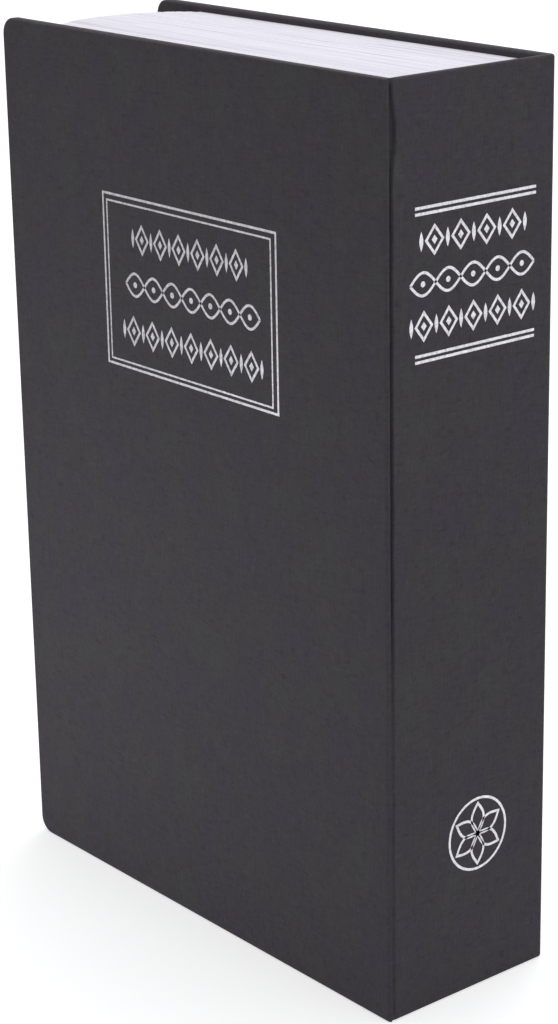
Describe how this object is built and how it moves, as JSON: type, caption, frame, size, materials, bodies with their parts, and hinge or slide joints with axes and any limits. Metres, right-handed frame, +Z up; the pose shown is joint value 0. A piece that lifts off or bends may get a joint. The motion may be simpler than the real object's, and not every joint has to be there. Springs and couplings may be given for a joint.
{
  "type": "book diversion safe",
  "caption": "Hardback-look case with false page edges that opens on a hinged cover to a key-locked steel box with its own hinged lid.",
  "frame": {"origin": "centre of the bounding box's bottom face, on the surface that the book stands on", "axes": "+Z up from tail to head, +X towards the spine, -Y towards the front cover"},
  "size_m": [0.155, 0.055, 0.24],
  "materials": {
    "covering": "matte",
    "board": "matte",
    "lining": "matte",
    "pages": "matte",
    "box_steel": "satin",
    "zinc": "satin",
    "lock_chrome": "gloss",
    "brass": "satin",
    "key_metal": "polished",
    "rivet": "satin"
  },
  "bodies": {
    "book": {"spine_back_covering": "covering", "spine_board": "board", "spine_lining": "lining", "back_board": "board", "back_lining": "lining", "joint_cloth": "covering", "page_ring": "pages", "box_tray": "box_steel", "strike_plate": "zinc", "box_rivet_1": "rivet", "box_rivet_2": "rivet", "box_rivet_3": "rivet", "box_rivet_4": "rivet", "hinge_pin_1": "zinc", "hinge_pin_2": "zinc", "key_1": "key_metal", "key_2": "key_metal"},
    "front_cover": {"front_covering": "covering", "front_board": "board", "front_lining": "lining"},
    "lid": {"box_lid": "box_steel", "lid_stiffener": "box_steel", "lock_body": "lock_chrome", "lock_washer": "zinc", "lock_nut": "zinc"},
    "lock_core": {"lock_plug": "brass", "lock_wafer_1": "brass", "lock_wafer_2": "brass", "lock_wafer_3": "brass", "lock_wafer_4": "brass", "lock_cam": "zinc", "cam_screw": "zinc"}
  },
  "joints": [
    {"name": "cover_hinge", "type": "hinge", "parent": "book", "child": "front_cover", "pos_m": [0.0776, -0.0245, 0.12], "axis": [0, 0, 1], "range_deg": [0, 180]},
    {"name": "lid_hinge", "type": "hinge", "parent": "book", "child": "lid", "pos_m": [0.0638, -0.0222, 0.12], "axis": [0, 0, 1], "range_deg": [0, 120]},
    {"name": "lock_turn", "type": "hinge", "parent": "lid", "child": "lock_core", "pos_m": [-0.032, 0, 0.12], "axis": [0, 1, 0], "range_deg": [0, 90]}
  ],
  "couplings": [
    {"joint": "lid_hinge", "follows": "cover_hinge", "ratio": 0.66666}
  ]
}
